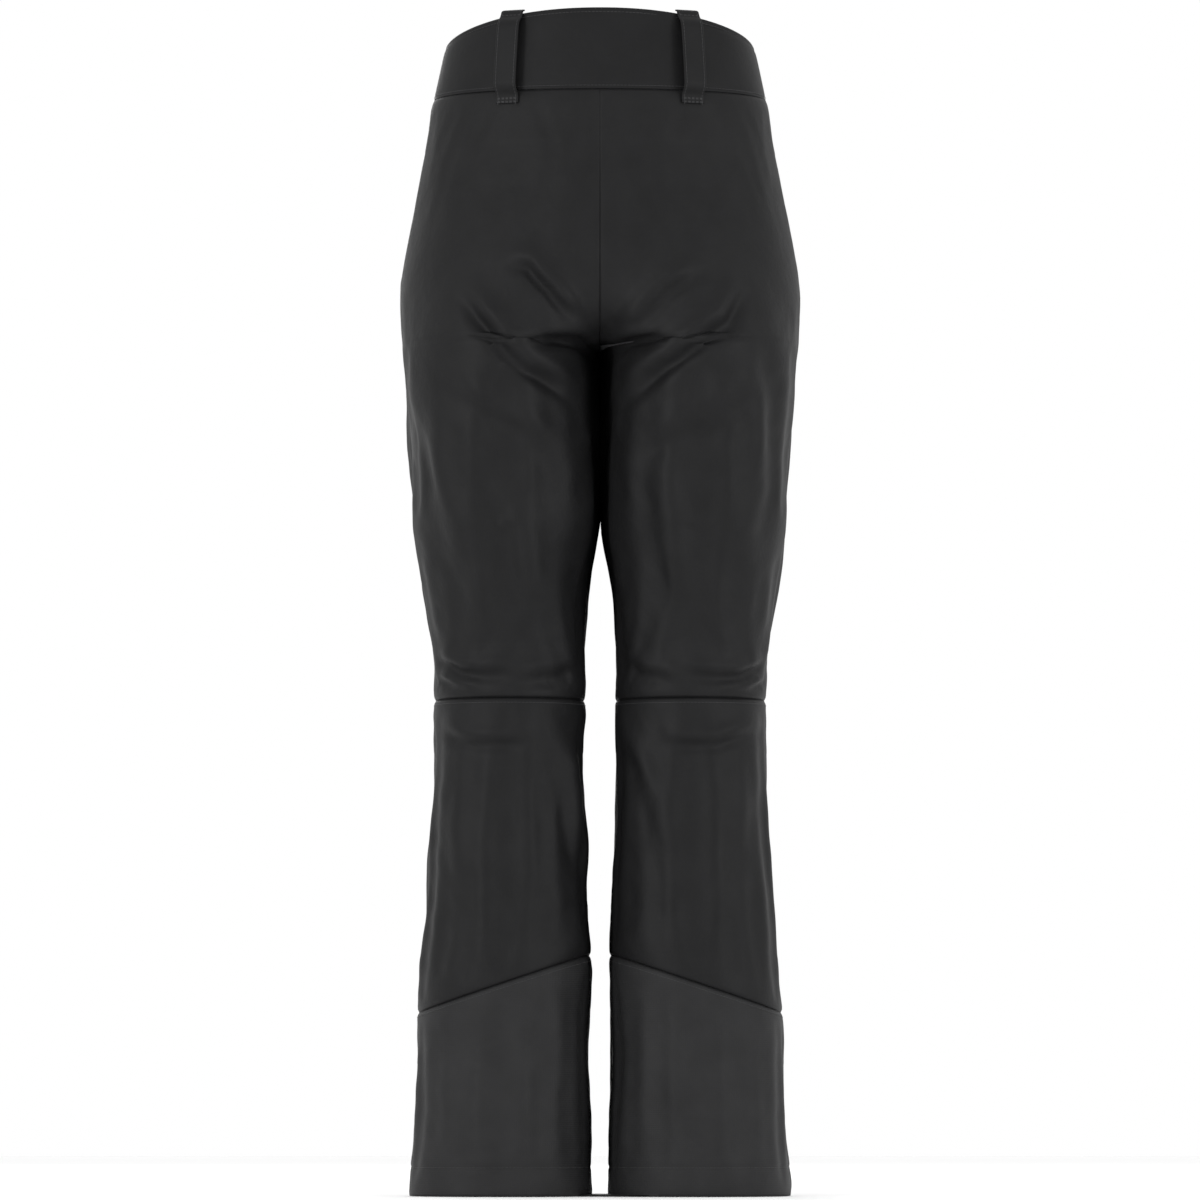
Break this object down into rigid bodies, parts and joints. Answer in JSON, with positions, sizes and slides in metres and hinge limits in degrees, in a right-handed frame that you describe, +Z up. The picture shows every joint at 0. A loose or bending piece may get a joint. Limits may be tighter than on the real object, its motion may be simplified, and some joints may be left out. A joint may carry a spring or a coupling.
{
  "type": "ski pants",
  "caption": "Insulated ski pants with a raised back waistband, zipped fly and hand pockets, slanting toughened cuffs and snow gaiters inside the hems.",
  "frame": {"origin": "middle of the waist opening, in the plane of the waist seam", "axes": "+Z up along the body, +X to the wearer's left, the wearer faces -Y"},
  "size_m": [0.373, 0.251, 1.0917],
  "materials": {
    "shell_fabric": "matt woven shell cloth with a soft sheen",
    "cuff_fabric": "tougher plain-weave cloth, a shade lighter",
    "lining_fabric": "smooth quilted taffeta over thin wadding",
    "facing_fabric": "brushed knitted cloth",
    "gaiter_fabric": "light ripstop cloth",
    "elastic": "elastic band with gripper ridges",
    "zip_tape": "woven tape",
    "zip_teeth": "moulded plastic",
    "zip_metal": "dark coated metal",
    "pull_rubber": "soft moulded plastic",
    "snap_metal": "dark coated metal",
    "hook_metal": "bare bent steel"
  },
  "bodies": {
    "pelvis": {"seat_panel_left": "shell_fabric", "seat_panel_right": "shell_fabric", "hip_panel_left": "shell_fabric", "hip_panel_right": "shell_fabric", "waistband_back": "shell_fabric", "waistband_front_left": "shell_fabric", "waistband_front_right": "shell_fabric", "waistband_facing": "facing_fabric", "belt_loop_back_left": "shell_fabric", "belt_loop_back_right": "shell_fabric", "belt_loop_front_left": "shell_fabric", "belt_loop_front_right": "shell_fabric", "hanger_loop": "zip_tape", "lining_seat": "lining_fabric", "fly_shield": "facing_fabric", "fly_zip_tapes": "zip_tape", "fly_zip_teeth": "zip_teeth", "snap_studs": "snap_metal", "snap_posts": "snap_metal", "pocket_welt_left": "shell_fabric", "pocket_welt_right": "shell_fabric", "pocket_zip_tapes_left": "zip_tape", "pocket_zip_tapes_right": "zip_tape", "pocket_zip_teeth_left": "zip_teeth", "pocket_zip_teeth_right": "zip_teeth", "pocket_bag_left": "facing_fabric", "pocket_bag_right": "facing_fabric"},
    "waist_tab": {"waist_tab": "shell_fabric", "snap_caps": "snap_metal", "snap_sockets": "snap_metal"},
    "fly_slider": {"fly_slider": "zip_metal"},
    "fly_pull": {"fly_pull": "pull_rubber"},
    "pocket_slider_left": {"pocket_slider_left": "zip_metal"},
    "pocket_pull_left": {"pocket_pull_left": "pull_rubber"},
    "pocket_slider_right": {"pocket_slider_right": "zip_metal"},
    "pocket_pull_right": {"pocket_pull_right": "pull_rubber"},
    "thigh_left": {"thigh_back_left": "shell_fabric", "thigh_front_left": "shell_fabric", "lining_thigh_left": "lining_fabric"},
    "shin_left": {"calf_panel_left": "shell_fabric", "shin_panel_left": "shell_fabric", "cuff_left": "cuff_fabric", "lining_shin_left": "lining_fabric", "gaiter_left": "gaiter_fabric", "gaiter_elastic_left": "elastic", "boot_hook_left": "hook_metal"},
    "thigh_right": {"thigh_back_right": "shell_fabric", "thigh_front_right": "shell_fabric", "lining_thigh_right": "lining_fabric"},
    "shin_right": {"calf_panel_right": "shell_fabric", "shin_panel_right": "shell_fabric", "cuff_right": "cuff_fabric", "lining_shin_right": "lining_fabric", "gaiter_right": "gaiter_fabric", "gaiter_elastic_right": "elastic", "boot_hook_right": "hook_metal"}
  },
  "joints": [
    {"name": "hip_left", "type": "hinge", "parent": "pelvis", "child": "thigh_left", "pos_m": [0.093, -0.1168, -0.2435], "axis": [-1, 0, 0], "range_deg": [0, 60], "stiffness_Nm_per_rad": 1.4, "springref_deg": -42.97},
    {"name": "knee_left", "type": "hinge", "parent": "thigh_left", "child": "shin_left", "pos_m": [0.0836, 0.0786, -0.5585], "axis": [1, 0, 0], "range_deg": [0, 90], "stiffness_Nm_per_rad": 0.7, "springref_deg": -34.38},
    {"name": "hip_right", "type": "hinge", "parent": "pelvis", "child": "thigh_right", "pos_m": [-0.093, -0.1168, -0.2435], "axis": [-1, 0, 0], "range_deg": [0, 60], "stiffness_Nm_per_rad": 1.4, "springref_deg": -42.97},
    {"name": "knee_right", "type": "hinge", "parent": "thigh_right", "child": "shin_right", "pos_m": [-0.0836, 0.0786, -0.5585], "axis": [1, 0, 0], "range_deg": [0, 90], "stiffness_Nm_per_rad": 0.7, "springref_deg": -34.38},
    {"name": "waist_tab_hinge", "type": "hinge", "parent": "pelvis", "child": "waist_tab", "pos_m": [0.0396, -0.1005, 0], "axis": [0, 0.1483, 0.9889], "range_deg": [0, 110]},
    {"name": "fly_zip", "type": "slide", "parent": "pelvis", "child": "fly_slider", "axis": [0, -0.0756, -0.9971], "range_m": [0, 0.125]},
    {"name": "fly_pull_hinge", "type": "hinge", "parent": "fly_slider", "child": "fly_pull", "pos_m": [0, -0.10706, -0.01413], "axis": [-1, 0, 0], "range_deg": [0, 150]},
    {"name": "pocket_zip_left", "type": "slide", "parent": "pelvis", "child": "pocket_slider_left", "axis": [0.1729, -0.0786, -0.9818], "range_m": [0, 0.11]},
    {"name": "pocket_pull_hinge_left", "type": "hinge", "parent": "pocket_slider_left", "child": "pocket_pull_left", "pos_m": [0.13473, -0.06085, -0.02725], "axis": [-0.6856, -0.7253, -0.0626], "range_deg": [0, 150]},
    {"name": "pocket_zip_right", "type": "slide", "parent": "pelvis", "child": "pocket_slider_right", "axis": [-0.1729, -0.0786, -0.9818], "range_m": [0, 0.11]},
    {"name": "pocket_pull_hinge_right", "type": "hinge", "parent": "pocket_slider_right", "child": "pocket_pull_right", "pos_m": [-0.13473, -0.06085, -0.02725], "axis": [-0.6856, 0.7253, 0.0626], "range_deg": [0, 150]}
  ]
}
